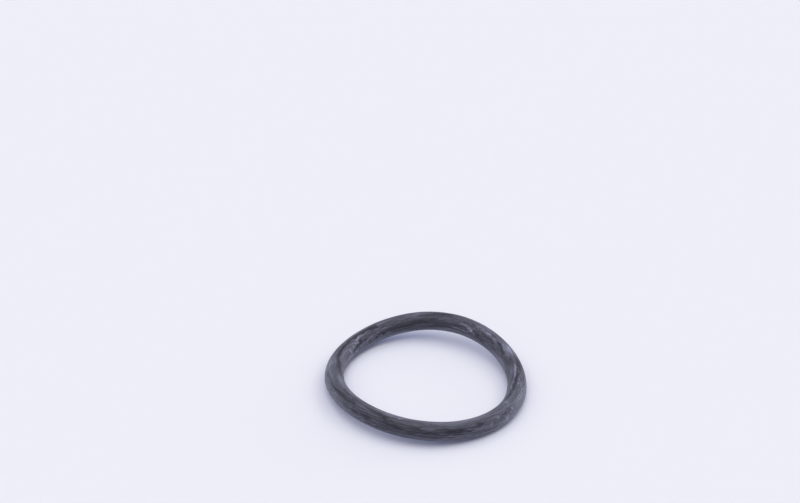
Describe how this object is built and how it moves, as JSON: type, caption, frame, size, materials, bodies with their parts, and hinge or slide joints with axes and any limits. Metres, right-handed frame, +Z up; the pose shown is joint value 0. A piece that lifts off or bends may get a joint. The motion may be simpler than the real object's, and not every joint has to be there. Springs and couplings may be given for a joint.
{
  "type": "rubber o-ring",
  "caption": "Black rubber o-ring with a round section and fine mould flash lines, lying slightly twisted out of flat as a loose ring does.",
  "frame": {"origin": "on the bench under the centre of the ring", "axes": "+Z up from the bench along the ring's axis, +X to the right and -Y towards the viewer of the picture"},
  "size_m": [0.0372, 0.0372, 0.0058],
  "materials": {
    "black_rubber": "matte, with a pale bloom in streaks along the ring"
  },
  "bodies": {
    "root": {"o_ring": "black_rubber"}
  },
  "joints": []
}
